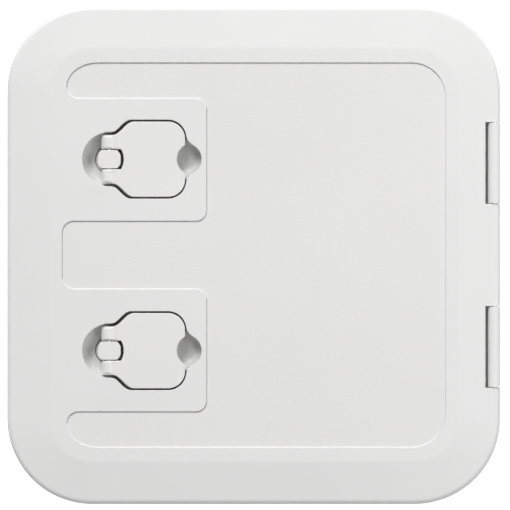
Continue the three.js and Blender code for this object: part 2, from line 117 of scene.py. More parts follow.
WALL = 3.0
BOWL_R, BOWL_FLOOR_R, BOWL_FLOOR, BOWL_POWER = 20.4, 15.4, 41.6, 2.6
DISH_X, DISH_R, DISH_FLOOR_R, DISH_FLOOR, DISH_POWER = 58.3, 11.8, 5.5, 43.5, 2.4
POCKET_FLOOR, POCKET_GAP, POCKET_WALL, POCKET_POWER = 47.0, 1.35, 1.0, 5.0
POCKET_END_GAP, POCKET_LEAD = 0.9, 2.2
RIM_FILLET = 0.5
HOLLOW_MIDDLE = 25.0
BOSS_R, BOSS_LOW = 13.0, 31.0
SEAT_R, SEAT_FLOOR = 11.05, 38.3
BORE_R = 6.3
FORK_HALF, PLATE_HALF, PLATE_END, PLATE_CORNER = 18.4, 28.6, 57.6, 13.0
SHOULDER_START, SHOULDER_END, SHOULDER_EASE = 2.0, 19.0, 7.0
PLATE_TOP, PLATE_THICK = 54.8, 4.2
BARREL_R = 5.6
SLOT_HALF, SLOT_END, SLOT_END_R = 7.6, 11.0, 15.0
SCOOP_X, SCOOP_R = 63.4, 12.0
DISC_R, DISC_TOP, DISC_LOW = 10.5, 41.6, 38.6
TONGUE_R, TONGUE_HALF, TONGUE_REACH, TONGUE_TOP = 9.1, 6.95, 8.7, 53.8

# ---- pieces under the lid and pins, in millimetres ----

STEM_R, STEM_LOW = 6.0, 35.3
CAM_HUB_R, CAM_HALF, CAM_REACH, CAM_LOW, CAM_TOP, CAM_ROUND = 10.0, 7.0, 44.0, 26.2, 30.2, 0.7
CAM_RIB_FAR, CAM_RIB_NEAR, CAM_RIB_HALF, CAM_RIB_END_R = 36.0, 12.5, 2.2, 2.0
CAM_RIB_LOW, CAM_RIB_TOP = 26.0, 26.6
SQUARE_HOLE_HALF = 4.3
SHAFT_R, SHAFT_LOW, SHAFT_TOP, SHAFT_EASE = 6.0, 30.8, 35.0, 0.3
SQUARE_HALF, SQUARE_CORNER, SQUARE_LOW, SQUARE_TOP = 4.0, 0.5, 26.0, 31.0
THREAD_R, THREAD_ROOT_R, THREAD_PITCH = 3.0, 2.55, 1.0
THREAD_TIP, THREAD_START, THREAD_STOP, THREAD_END = 19.0, 19.3, 25.9, 26.2
THREAD_END_R = 2.6
WASHER_BORE_R, WASHER_R, WASHER_LOW, WASHER_TOP, WASHER_EASE = 3.3, 9.0, 24.6, 25.9, 0.15
NUT_CORNER_R, NUT_BORE_R, NUT_LOW, NUT_TOP, NUT_EASE = 5.77, 3.3, 19.8, 24.3, 0.3
O_RING_R, O_RING_SECTION_R, O_RING_Z = 7.15, 0.82, 36.8
SEAL_INNER, SEAL_OUTER, SEAL_LOW, SEAL_TOP = 145.6, 151.6, 44.3, 50.2
HINGE_ROD_R, HINGE_ROD_NEAR, HINGE_ROD_FAR = 1.95, 27.0, 138.0
HANDLE_ROD_R, HANDLE_ROD_HALF = 1.9, 17.8


# ---- mesh building ----

class Build:
    """Gathers vertices and faces in millimetres and makes one welded mesh of them."""

    def __init__(self):
        self.verts = []
        self.faces = []
        self.slots = []

    def add(self, verts, faces, slot=0):
        base = len(self.verts)
        self.verts.extend(tuple(float(c) for c in v) for v in verts)
        self.faces.extend(tuple(base + int(i) for i in face) for face in faces)
        self.slots.extend(np.broadcast_to(slot, len(faces)).tolist())
        return base

    def strip(self, loops, slot=0, closed=True):
        """Quads between each loop of points and the next; every loop has the same count."""
        count = len(loops[0])
        verts = [p for loop in loops for p in loop]
        around = count if closed else count - 1
        faces = []
        for k in range(len(loops) - 1):
            for i in range(around):
                j = (i + 1) % count
                faces.append((k * count + i, k * count + j, (k + 1) * count + j, (k + 1) * count + i))
        self.add(verts, faces, slot)

    def fill(self, loops, height, points=(), slot=0):
        """Triangles over the area inside the first loop and outside the others."""
        flat = [np.asarray(loop, float)[:, :2] for loop in loops]
        edges, start = [], 0
        for loop in flat:
            count = len(loop)
            edges.extend((start + i, start + (i + 1) % count) for i in range(count))
            start += count
        every = np.vstack(flat + ([np.asarray(points, float)[:, :2]] if len(points) else []))
        out = delaunay_2d_cdt([Vector(p) for p in every], edges, [], 0, 1e-5)
        verts = np.array([(v.x, v.y) for v in out[0]])
        faces = np.array([face for face in out[2] if len(face) == 3])
        middle = verts[faces].mean(axis=1)
        keep = inside(middle, flat[0])
        for hole in flat[1:]:
            keep &= ~inside(middle, hole)
        self.add(np.column_stack([verts, height(verts)]), faces[keep], slot)

    def object(self, name, materials, move=(0.0, 0.0), weld=2e-4, smooth=math.radians(38)):
        mesh = bpy.data.meshes.new(name)
        shift = np.array([move[0], move[1], 0.0])
        mesh.from_pydata([tuple((np.array(v) + shift) * MM) for v in self.verts], [], self.faces)
        for polygon, slot in zip(mesh.polygons, self.slots):
            polygon.material_index = slot
        work = bmesh.new()
        work.from_mesh(mesh)
        bmesh.ops.remove_doubles(work, verts=work.verts, dist=weld * MM)
        bmesh.ops.dissolve_degenerate(work, edges=work.edges, dist=1e-4 * MM)
        loose = [v for v in work.verts if not v.link_faces]
        bmesh.ops.delete(work, geom=loose, context="VERTS")
        bmesh.ops.recalc_face_normals(work, faces=work.faces)
        work.to_mesh(mesh)
        work.free()
        mesh.shade_smooth()
        mesh.set_sharp_from_angle(angle=smooth)
        for item in materials:
            mesh.materials.append(item)
        made = bpy.data.objects.new(name, mesh)
        bpy.context.collection.objects.link(made)
        weighted = made.modifiers.new("face_weight", "WEIGHTED_NORMAL")
        weighted.keep_sharp = True
        weighted.weight = 60
        return made


def inside(points, loop):
    """Which points lie inside a closed outline."""
    x, y = points[:, 0], points[:, 1]
    result = np.zeros(len(points), bool)
    ax, ay = loop[:, 0], loop[:, 1]
    bx, by = np.roll(ax, -1), np.roll(ay, -1)
    for x0, y0, x1, y1 in zip(ax, ay, bx, by):
        if y0 == y1:
            continue
        crosses = (y0 > y) != (y1 > y)
        result ^= crosses & (x < x0 + (y - y0) * (x1 - x0) / (y1 - y0))
    return result


def distance(points, loop):
    """Signed distance to a closed outline, negative inside."""
    best = np.full(len(points), 1e9)
    a, b = loop, np.roll(loop, -1, axis=0)
    for p, q in zip(a, b):
        along = q - p
        length = along @ along
        if length < 1e-12:
            continue
        t = np.clip(((points - p) @ along) / length, 0, 1)
        best = np.minimum(best, np.linalg.norm(points - p - t[:, None] * along, axis=1))
    return np.where(inside(points, loop), -best, best)


def grown(loop, amount):
    """An outline moved outward by amount, corner by corner."""
    loop = np.asarray(loop, float)
    ahead = np.roll(loop, -1, axis=0) - loop
    normal = np.column_stack([ahead[:, 1], -ahead[:, 0]])
    normal /= np.linalg.norm(normal, axis=1)[:, None]
    before = np.roll(normal, 1, axis=0)
    miter = (before + normal) / (1 + (before * normal).sum(axis=1))[:, None]
    return loop + miter * amount


def at(loop, z):
    loop = np.asarray(loop, float)
    return np.column_stack([loop[:, :2], np.full(len(loop), float(z))])


def circle(radius, steps=72, x=0.0, y=0.0):
    angle = np.arange(steps) / steps * 2 * math.pi
    return np.column_stack([x + radius * np.cos(angle), y + radius * np.sin(angle)])


def arc(x, y, radius, start, end, steps):
    angle = np.radians(np.linspace(start, end, steps + 1))
    return [(x + radius * math.cos(a), y + radius * math.sin(a)) for a in angle]


def bezier(p0, p1, p2, p3, steps):
    t = np.linspace(0, 1, steps + 1)[:, None]
    p0, p1, p2, p3 = (np.array(p, float) for p in (p0, p1, p2, p3))
    curve = (1 - t) ** 3 * p0 + 3 * (1 - t) ** 2 * t * p1 + 3 * (1 - t) * t ** 2 * p2 + t ** 3 * p3
    return [tuple(p) for p in curve]


def without_repeats(points, least=1e-3):
    kept = [points[0]]
    for p in points[1:]:
        if math.dist(p, kept[-1]) > least:
            kept.append(p)
    if math.dist(kept[0], kept[-1]) <= least:
        kept.pop()
    return np.array(kept, float)


def fillet(depth_in, radius):
    """How far a rounded edge has dropped at a distance in from its side."""
    left = np.clip(radius - depth_in, 0, radius)
    return radius - np.sqrt(np.maximum(radius ** 2 - left ** 2, 0))


def smooth_step(t):
    t = np.clip(t, 0, 1)
    return t * t * (3 - 2 * t)


def level(z):
    """A height function for Build.fill that gives the same height everywhere."""
    return lambda points: np.full(len(points), float(z))


def hexagon_points(loop, spacing, gap):
    """Evenly spread points inside an outline, at least gap from it."""
    low, high = loop.min(axis=0), loop.max(axis=0)
    rows = np.arange(low[1], high[1], spacing * math.sqrt(3) / 2)
    grid = []
    for k, y in enumerate(rows):
        xs = np.arange(low[0] + (k % 2) * spacing / 2, high[0], spacing)
        grid.append(np.column_stack([xs, np.full(len(xs), y)]))
    grid = np.vstack(grid)
    return grid[distance(grid, loop) < -gap]


# ---- materials ----

def node_material(name):
    material = bpy.data.materials.new(name)
    material.use_nodes = True
    return material, material.node_tree, material.node_tree.nodes["Principled BSDF"]


def plug(tree, node, values):
    """Sets a node's inputs: a socket is linked, and anything else becomes the input's value."""
    for name, value in values.items():
        if isinstance(value, bpy.types.NodeSocket):
            tree.links.new(value, node.inputs[name])
        else:
            node.inputs[name].default_value = value
    return node


def object_place(tree):
    return tree.nodes.new("ShaderNodeTexCoord").outputs["Object"]


def noise(tree, scale, detail=3.0, roughness=0.5):
    values = {"Scale": scale, "Detail": detail, "Roughness": roughness, "Vector": object_place(tree)}
    return plug(tree, tree.nodes.new("ShaderNodeTexNoise"), values).outputs["Fac"]


def spread(tree, value, low, high, start=0.3, end=0.7):
    values = {"Value": value, "From Min": start, "From Max": end, "To Min": low, "To Max": high}
    return plug(tree, tree.nodes.new("ShaderNodeMapRange"), values).outputs["Result"]


def mixed(tree, factor, first, second):
    mix = tree.nodes.new("ShaderNodeMix")
    mix.data_type = "RGBA"
    for socket, value in (("A", first), ("B", second)):
        target = next(s for s in mix.inputs if s.name == socket and s.type == "RGBA")
        if isinstance(value, tuple):
            target.default_value = (*value, 1.0)
        else:
            tree.links.new(value, target)
    tree.links.new(factor, mix.inputs[0])
    return next(s for s in mix.outputs if s.type == "RGBA")


def bumped(tree, shader, layers):
    """Chained bumps; each layer is (height, strength, distance in millimetres)."""
    normal = None
    for height, strength, depth in layers:
        values = {"Height": height, "Strength": strength, "Distance": depth * MM}
        if normal is not None:
            values["Normal"] = normal
        normal = plug(tree, tree.nodes.new("ShaderNodeBump"), values).outputs["Normal"]
    tree.links.new(normal, shader.inputs["Normal"])


def edge_amount(tree):
    geometry = tree.nodes.new("ShaderNodeNewGeometry")
    return spread(tree, geometry.outputs["Pointiness"], 0.0, 1.0, 0.52, 0.6)


def patchy_roughness(tree, shader, scale, low, high):
    patches = spread(tree, noise(tree, scale, 4.0), low, high)
    tree.links.new(patches, shader.inputs["Roughness"])


def calculated(tree, operation, *values):
    made = tree.nodes.new("ShaderNodeMath")
    made.operation = operation
    return plug(tree, made, dict(enumerate(values))).outputs[0]


def dish_shade_amount(tree):
    """Painted shade: one in the depth of either finger dish, fading to nothing at its rim."""
    split = tree.nodes.new("ShaderNodeSeparateXYZ")
    tree.links.new(object_place(tree), split.inputs[0])
    values = {"X": split.outputs["X"], "Y": calculated(tree, "ABSOLUTE", split.outputs["Y"])}
    flat = plug(tree, tree.nodes.new("ShaderNodeCombineXYZ"), values)
    away = tree.nodes.new("ShaderNodeVectorMath")
    away.operation = "DISTANCE"
    dish = ((SPINDLE_X + DISH_X) * MM, SPINDLE_Y * MM, 0.0)
    plug(tree, away, {0: flat.outputs[0], 1: dish})
    near = spread(tree, away.outputs["Value"], 1.0, 0.0, (DISH_R - 1.0) * MM, (DISH_R + 2.0) * MM)
    deep = spread(tree, split.outputs["Z"], 1.0, 0.0, (TOP - 6.0) * MM, (TOP - 1.5) * MM)
    return calculated(tree, "MULTIPLY", near, deep)


def white_plastic(name, tone, roughness, grain, dish_shade_tone=None):
    """Moulded ASA: faint cloudiness, a fine spark-eroded grain and edges rubbed smoother; an optional
    tone paints shade into the depth of the finger dishes.
    """
    material, tree, shader = node_material(name)
    cloud = spread(tree, noise(tree, 14.0, 2.0), 0.0, 1.0)
    tinted = mixed(tree, cloud, tone, tuple(c * 0.982 for c in tone))
    brighter = tuple(min(1.0, c * 1.03) for c in tone)
    surface_colour = mixed(tree, edge_amount(tree), tinted, brighter)
    # Painted shade in the depth of the finger dishes.
    if dish_shade_tone:
        surface_colour = mixed(tree, dish_shade_amount(tree), surface_colour, dish_shade_tone)
    patchy_roughness(tree, shader, 60.0, roughness - 0.04, roughness + 0.05)
    fine = noise(tree, 2600.0, 2.0, 0.6)
    flow = noise(tree, 22.0, 2.0)
    bumped(tree, shader, [(flow, 0.25, 0.12), (fine, grain, 0.03)])
    plug(tree, shader, {"Base Color": surface_colour, "IOR": 1.49, "Specular IOR Level": 0.42})
    return material


def tread_plastic(name, tone, roughness):
    """The same plastic with a fine raised stipple, for the tread panel."""
    material, tree, shader = node_material(name)
    cloud = spread(tree, noise(tree, 9.0, 3.0), 0.0, 1.0)
    tinted = mixed(tree, cloud, tone, tuple(c * 0.975 for c in tone))
    patchy_roughness(tree, shader, 45.0, roughness - 0.04, roughness + 0.05)
    values = {"Scale": 900.0, "Randomness": 0.8, "Vector": object_place(tree)}
    cells = plug(tree, tree.nodes.new("ShaderNodeTexVoronoi"), values)
    beads = spread(tree, cells.outputs["Distance"], 1.0, 0.0, 0.1, 0.6)
    fine = noise(tree, 2600.0, 2.0, 0.6)
    bumped(tree, shader, [(beads, 0.35, 0.10), (fine, 0.3, 0.03)])
    plug(tree, shader, {"Base Color": tinted, "IOR": 1.49, "Specular IOR Level": 0.38})
    return material


def steel(name):
    material, tree, shader = node_material(name)
    grey = mixed(tree, noise(tree, 300.0, 4.0), (0.60, 0.61, 0.62), (0.74, 0.75, 0.76))
    turning_marks = spread(tree, noise(tree, 900.0), 0.22, 0.38)
    plug(tree, shader, {"Metallic": 1.0, "Base Color": grey, "Roughness": turning_marks})
    bumped(tree, shader, [(noise(tree, 1800.0, 3.0), 0.2, 0.02)])
    return material


def black(name, tone, roughness, scale):
    material, tree, shader = node_material(name)
    surface_colour = mixed(tree, edge_amount(tree), tone, tuple(c * 1.7 for c in tone))
    plug(tree, shader, {"Base Color": surface_colour})
    patchy_roughness(tree, shader, 120.0, roughness - 0.08, roughness + 0.08)
    bumped(tree, shader, [(noise(tree, scale, 3.0, 0.65), 0.4, 0.04)])
    return material


WHITE_TONE = (0.741, 0.741, 0.738)
WHITE = white_plastic("white_plastic", WHITE_TONE, roughness=0.44, grain=0.35)
HANDLE_WHITE = white_plastic("handle_plastic", (0.755, 0.752, 0.738), roughness=0.38, grain=0.22)
TREAD = tread_plastic("tread_plastic", (0.735, 0.732, 0.714), roughness=0.5)
# Painted shade: the white plastic darkened in the depth of the finger dishes.
DISH_SHADED = white_plastic("dish_shaded_plastic", WHITE_TONE, roughness=0.44, grain=0.35,
                      dish_shade_tone=(0.596, 0.596, 0.59))
# Painted shade: a darker copy of the white plastic for the panel walls that face away from the key
# light.
SHADED_WALL = white_plastic("shaded_wall_plastic", (0.50, 0.498, 0.487), roughness=0.46, grain=0.35)
# Painted shade: a dark copy of the white plastic for the narrow gaps round the handles, tongues and
# spindle seats.
GAP_SHADE = white_plastic("gap_shade_plastic", (0.20, 0.198, 0.192), roughness=0.6, grain=0.5)
STEEL = steel("stainless_steel")
NYLON = black("black_nylon", (0.022, 0.022, 0.024), roughness=0.46, scale=900.0)
RUBBER = black("black_rubber", (0.012, 0.012, 0.013), roughness=0.72, scale=1600.0)


# ---- the lid's rounded-square rings ----

CORNER_STEPS = 28
CORNER_CENTRE = LID_HALF - LID_CORNER
NOTCH_LINES = (-NOTCH_FAR, -NOTCH_NEAR, NOTCH_NEAR, NOTCH_FAR)


def ring_frame():
    """Anchor and outward direction of each point of every ring."""
    anchors, outward = [], []
    for k, (sx, sy) in enumerate(((1, 1), (-1, 1), (-1, -1), (1, -1))):
        for a in np.radians(np.linspace(90 * k, 90 * k + 90, CORNER_STEPS + 1)):
            anchors.append((sx * CORNER_CENTRE, sy * (CORNER_CENTRE + LONGER)))
            outward.append((math.cos(a), math.sin(a)))
    for y in NOTCH_LINES:
        anchors.append((CORNER_CENTRE, y))
        outward.append((1.0, 0.0))
    return np.array(anchors), np.array(outward)


RING_ANCHORS, RING_OUTWARD = ring_frame()
FIRST_NOTCH_LINE = len(RING_ANCHORS) - len(NOTCH_LINES)


def ring(half, z):
    """One ring; half and z are numbers, or one value for each point."""
    out = np.broadcast_to(half, len(RING_ANCHORS)) - CORNER_CENTRE
    height = np.broadcast_to(z, len(RING_ANCHORS))
    return np.column_stack([RING_ANCHORS + RING_OUTWARD * out[:, None], height])


def latch_place(side):
    return np.array([SPINDLE_X, side * SPINDLE_Y])


def rings(profile):
    return [ring(half, z) for half, z in profile]


def rounded_step(corners, radius=0.4):
    """An open profile of right-angled corners, [half, z], each cut by a small two-step round."""
    made = [corners[0]]
    for before, here, after in zip(corners, corners[1:], corners[2:]):
        a, b = unit(before, here), unit(after, here)
        for share_a, share_b in ((1.0, 0.0), (0.3, 0.3), (0.0, 1.0)):
            made.append(tuple(np.array(here, float) + (a * share_a + b * share_b) * radius))
    made.append(corners[-1])
    return made


def unit(end, start):
    v = np.array(end, float) - np.array(start, float)
    return v / np.linalg.norm(v)


# ---- lid ----

RIM_SLOPE = (TOP - EDGE_TOP) / (LID_HALF - PLATEAU_HALF)


def top_profile():
    """From the flat top out over the rounded edge to the level of the hinge axis."""
    profile = [(PLATEAU_HALF - 3, TOP)]
    for step in np.linspace(-1, 1, 7):
        run = (step + 1) * PLATEAU_BLEND
        drop = RIM_SLOPE * run ** 2 / (4 * PLATEAU_BLEND)
        profile.append((PLATEAU_HALF + step * PLATEAU_BLEND, TOP - drop))
    profile.append((NOTCH_X, TOP - RIM_SLOPE * (NOTCH_X - PLATEAU_HALF)))
    notch_ring = len(profile) - 1
    tilt = math.atan(RIM_SLOPE)
    centre_z = EDGE_TOP + RIM_SLOPE * EDGE_FILLET - EDGE_FILLET / math.cos(tilt)
    before_edge = LID_HALF - EDGE_FILLET - 0.6
    profile.append((before_edge, TOP - RIM_SLOPE * (before_edge - PLATEAU_HALF)))
    for angle in np.linspace(math.pi / 2 - tilt, 0, 9):
        half = LID_HALF - EDGE_FILLET + EDGE_FILLET * math.cos(angle)
        profile.append((half, centre_z + EDGE_FILLET * math.sin(angle)))
    return profile, notch_ring


def lower_edge():
    """The skirt's lower edge: square on three sides, rounded about the axis on the hinge side."""
    round_x, round_z = LID_HALF - SKIRT_ROUND, LID_BOTTOM + SKIRT_ROUND
    plain = [(LID_HALF, 47.0), (LID_HALF, 46.3)]
    plain += [(round_x + SKIRT_ROUND * math.cos(a), round_z - SKIRT_ROUND * math.sin(a))
              for a in np.radians((0, 30, 60, 90))]
    plain += [(half, LID_BOTTOM) for half in (185.4, 184.2, HINGE_X)]
    start = -math.acos((LID_HALF - HINGE_X) / HINGE_CLEAR_R)
    swept = [(LID_HALF, 47.0), (LID_HALF, HINGE_Z + HINGE_CLEAR_R * math.sin(start) + 0.1)]
    swept += [(HINGE_X + HINGE_CLEAR_R * math.cos(a), HINGE_Z + HINGE_CLEAR_R * math.sin(a))
              for a in np.linspace(start, -math.pi / 2, 7)]
    share = smooth_step((RING_OUTWARD[:, 0] - 0.7) / 0.23)
    return [ring(half_a + (half_b - half_a) * share, z_a + (z_b - z_a) * share)
            for (half_a, z_a), (half_b, z_b) in zip(plain, swept)]


def box_rounded(corners, steps=14):
    """A closed outline of right angles along X and Y; a corner is (x, y, run along x, run along y)."""
    points = []
    count = len(corners)
    for i, (x, y, run_x, run_y) in enumerate(corners):
        here = np.array([x, y], float)
        into = unit(here, corners[i - 1][:2])
        away = unit(corners[(i + 1) % count][:2], here)
        run_in, run_out = (run_x, run_y) if abs(into[0]) > 0.5 else (run_y, run_x)
        centre = here - into * run_in + away * run_out
        for t in np.linspace(0, math.pi / 2, steps + 1):
            points.append(tuple(centre + into * run_in * math.sin(t) - away * run_out * math.cos(t)))
    return without_repeats(points)


def panel_outline():
    upper = [
        (PANEL_RIGHT, PANEL_HALF, 26, 26),
        (PANEL_ARM_LEFT, PANEL_HALF, 24, 18),
        (PANEL_ARM_LEFT, ISLAND_FAR, 9, 9),
        (ISLAND_RIGHT, ISLAND_FAR, 8, 8),
        (ISLAND_RIGHT, ISLAND_NEAR, 8, 8),
        (PANEL_TONGUE_LEFT, ISLAND_NEAR, 9, 9),
    ]
    return box_rounded(upper + [(x, -y, rx, ry) for x, y, rx, ry in reversed(upper)])


# Steps out from the panel's outline and down from the lid's top.
PANEL_WALL = (
    (0.9, 0.0), (0.45, 0.0), (0.28, -0.035), (0.14, -0.12), (0.04, -0.26), (0.0, -0.45),
    (-0.06, -0.62), (-0.14, -0.78), (-0.28, -0.92), (-0.45, -0.985), (-0.6, -1.0),
)
WALL_STARTS = 3
LIGHT_SIDE = np.array([-0.32, 0.95])        # the panel's walls on this side face away from the key light and get painted shade
SHADE_FACING = 0.25


# ---- latch hollow ----

def handle_side(grow, lead, sign, steps=20):
    """The shoulder curve from fork to grip plate, drawn from the fork outward."""
    start, end = SHOULDER_START - lead, SHOULDER_END - lead
    fork, plate = sign * (FORK_HALF + grow), sign * (PLATE_HALF + grow)
    ease = SHOULDER_EASE
    return bezier((start, fork), (start + ease, fork), (end - ease, plate), (end, plate), steps)


def pocket_outline():
    half = PLATE_HALF + POCKET_GAP
    end, corner = PLATE_END + POCKET_END_GAP, PLATE_CORNER + POCKET_END_GAP
    points = [(PIN_X - POCKET_LEAD, -FORK_HALF - POCKET_GAP)]
    points += handle_side(POCKET_GAP, POCKET_LEAD, -1)
    points += arc(end - corner, -half + corner, corner, -90, 0, 14)
    points += arc(end - corner, half - corner, corner, 0, 90, 14)
    points += handle_side(POCKET_GAP, POCKET_LEAD, 1)[::-1]
    points += [(PIN_X - POCKET_LEAD, FORK_HALF + POCKET_GAP)]
    return without_repeats(points)


POCKET = pocket_outline()
# Slots: painted shade in the gaps, painted shade in the finger dishes, tread, painted shade on the panel
# walls.
GAP_SHADE_SLOT, DISH_SHADED_SLOT, TREAD_SLOT, SHADED_WALL_SLOT = 1, 2, 3, 4
BOWL_ROUND = 2.0
DISH_ROUND = 7.0


def blend_least(a, b, width):
    h = np.maximum(width - np.abs(a - b), 0) / width
    return np.minimum(a, b) - h * h * width / 4


def hollow_fields(points):
    """Signed distance to the whole hollow and to its bowl, pocket and dish, rounded at joins."""
    bowl = np.linalg.norm(points, axis=1) - BOWL_R
    dish = np.linalg.norm(points - np.array([DISH_X, 0.0]), axis=1) - DISH_R
    pocket = distance(points, POCKET)
    whole = blend_least(blend_least(bowl, pocket, BOWL_ROUND), dish, DISH_ROUND)
    lift = np.minimum(np.minimum(bowl, pocket), dish) - whole
    return whole, bowl - lift, pocket - lift, dish - lift


def cove(t, power):
    t = np.clip(t, 0, 1)
    return 1 - (1 - t ** power) ** (1 / power)


def feature_heights(bowl, pocket, dish, drop, grow, rim):
    """Height of the bowl, pocket and dish surfaces, lowered and grown for the outer walls."""
    r_bowl, r_dish = bowl + BOWL_R + grow, dish + DISH_R + grow
    floors = (BOWL_FLOOR - drop, POCKET_FLOOR - drop, DISH_FLOOR - drop)
    shares = (
        cove((r_bowl - BOWL_FLOOR_R) / (BOWL_R + grow - BOWL_FLOOR_R), BOWL_POWER),
        cove(1 + pocket / POCKET_WALL, POCKET_POWER),
        cove((r_dish - DISH_FLOOR_R) / (DISH_R + grow - DISH_FLOOR_R), DISH_POWER),
    )
    return np.min([floor + (rim - floor) * share for floor, share in zip(floors, shares)], axis=0)


def hollow_height(points):
    whole, bowl, pocket, dish = hollow_fields(points)
    rim = TOP - RIM_FILLET
    below = feature_heights(bowl, pocket, dish, 0.0, 0.0, rim)
    above = TOP - fillet(np.clip(whole, 0, RIM_FILLET), RIM_FILLET)
    return np.where(whole > 0, above, below)


def under_height(points):
    whole, bowl, pocket, dish = hollow_fields(points)
    below = feature_heights(bowl - WALL, pocket - WALL, dish - WALL, WALL, WALL, ROOF)
    return np.where(whole > WALL, ROOF, below)


def on_rays(angles, level):
    """The outline where the distance to the hollow is level, found along rays from its middle."""
    direction = np.column_stack([np.cos(angles), np.sin(angles)])
    middle = np.array([HOLLOW_MIDDLE, 0.0])
    near, far = np.zeros(len(angles)), np.full(len(angles), 62.0)
    for _ in range(34):
        reach = (near + far) / 2
        outside = hollow_fields(middle + direction * reach[:, None])[0] > level
        far = np.where(outside, reach, far)
        near = np.where(outside, near, reach)
    return middle + direction * ((near + far) / 2)[:, None]


def even_angles(count):
    """Ray angles that put the rim's points at even steps along it."""
    trial = np.linspace(-math.pi, math.pi, 1441)
    rim = on_rays(trial, 0.0)
    length = np.concatenate([[0], np.cumsum(np.linalg.norm(np.diff(rim, axis=0), axis=1))])
    return np.interp(np.linspace(0, length[-1], count + 1)[:-1], length, trial)


def ring_circles(profile, steps=72):
    return [at(circle(radius, steps), z) for radius, z in profile]


RIM_LEVELS = (
    1.2, 0.6, 0.42, 0.25, 0.12, 0.04, 0.0, -0.03, -0.08,
    -0.15, -0.25, -0.4, -0.6, -0.85, -1.2, -1.7, -2.3,
)
UNDER_LEVELS = (1.2, 0.3, 0.0, -0.05, -0.15, -0.3, -0.5, -0.8, -1.2, -1.8, -2.6)


def latch_hollow():
    """One latch hollow about its spindle: inside skin, bore and the walls under the roof."""
    build = Build()
    rays = even_angles(380)
    loops = [on_rays(rays, level) for level in RIM_LEVELS]
    build.strip([np.column_stack([loop, hollow_height(loop)]) for loop in loops])
    grid = hexagon_points(loops[-1], 0.9, 0.5)
    grid = grid[np.linalg.norm(grid, axis=1) > SEAT_R + 1.0]
    build.fill([loops[-1], circle(SEAT_R + 0.3)], hollow_height, grid)
    build.strip(ring_circles([
        (SEAT_R + 0.3, BOWL_FLOOR), (SEAT_R + 0.08, BOWL_FLOOR - 0.03), (SEAT_R, BOWL_FLOOR - 0.15),
        (SEAT_R, SEAT_FLOOR), (BORE_R, SEAT_FLOOR), (BORE_R, BOSS_LOW + 0.3), (BORE_R + 0.3, BOSS_LOW),
        (BOSS_R - 0.5, BOSS_LOW), (BOSS_R - 0.15, BOSS_LOW + 0.15), (BOSS_R, BOSS_LOW + 0.5),
        (BOSS_R, BOWL_FLOOR - WALL - 0.5), (BOSS_R + 0.15, BOWL_FLOOR - WALL - 0.15),
        (BOSS_R + 0.5, BOWL_FLOOR - WALL),
    ]))
    mark_crevices(build)
    under = [on_rays(rays, WALL + level) for level in UNDER_LEVELS]
    build.strip([np.column_stack([loop, under_height(loop)]) for loop in under])
    grid = hexagon_points(under[-1], 1.6, 0.8)
    grid = grid[np.linalg.norm(grid, axis=1) > BOSS_R + 1.4]
    build.fill([under[-1], circle(BOSS_R + 0.5)], under_height, grid)
    return build, loops[0], under[0]


GAP_BAND = (-1.6, -0.035)        # distance from the pocket's rim
GAP_BOWL, GAP_DISH = -0.4, 3.2   # the least distance from the rims of bowl and dish


def mark_crevices(build):
    """Gives the gap round the handle and the spindle's seat painted shade, and the rest of the hollow
    the finish with painted shade in the finger dish.
    """
    middle = np.array([np.mean([build.verts[i] for i in face], axis=0) for face in build.faces])
    flat, z = middle[:, :2], middle[:, 2]
    _, bowl, pocket, dish = hollow_fields(flat)
    narrow = (pocket > GAP_BAND[0]) & (pocket < GAP_BAND[1]) & (bowl > GAP_BOWL) & (dish > GAP_DISH)
    deep = (z < TOP - 0.7) & (z > POCKET_FLOOR - 0.1)
    seat = np.linalg.norm(flat, axis=1) < SEAT_R + 0.05
    seat &= (z < BOWL_FLOOR - 0.1) & (z > SEAT_FLOOR - 0.1)
    # Painted shade: dark faces in the gap round the handle and in the seat; the rest of the hollow gets
    # the dish's painted shade.
    build.slots = np.where((narrow & deep) | seat, GAP_SHADE_SLOT, DISH_SHADED_SLOT).tolist()


def rib_cells():
    """Outlines of the shallow cells that the ribs leave under the roof."""
    half = RIB_WIDTH / 2
    end = SEAL_RIB_INNER + LONGER
    xs = (-SEAL_RIB_INNER, *RIBS_AT_X, SEAL_RIB_INNER)
    ys = (-end, *RIBS_AT_Y, end)
    corner_radius = SEAL_RIB_INNER - CORNER_CENTRE - 0.5
    cells = []
    for x0, x1 in zip(xs, xs[1:]):
        for y0, y1 in zip(ys, ys[1:]):
            left, right = x0 + half * (x0 > xs[0]), x1 - half * (x1 < xs[-1])
            low, high = y0 + half * (y0 > ys[0]), y1 - half * (y1 < ys[-1])
            corners = []
            for x, y in ((left, low), (right, low), (right, high), (left, high)):
                outer = abs(x) == SEAL_RIB_INNER and abs(y) == end
                radius = corner_radius if outer else 2.5
                corners.append((x, y, radius, radius))
            cells.append(box_rounded(corners, 8))
    return cells


CELL_WALL = ((0.35, 0.0), (0.12, 0.12), (0.0, 0.4), (-0.05, 4.0), (-0.15, 4.3), (-0.5, 4.5))


UNDERSIDE = [
    (NOTCH_X - 0.1, LID_BOTTOM), (SKIRT_INNER, LID_BOTTOM), (SKIRT_INNER, RIM_ROOF),
    (SEAL_RIB_OUTER, RIM_ROOF), (SEAL_RIB_OUTER, SEAL_RIB_LOW), (CHANNEL_OUTER, SEAL_RIB_LOW),
    (CHANNEL_OUTER, ROOF), (CHANNEL_INNER, ROOF), (CHANNEL_INNER, SEAL_RIB_LOW),
    (SEAL_RIB_INNER + 1.5, SEAL_RIB_LOW),
]


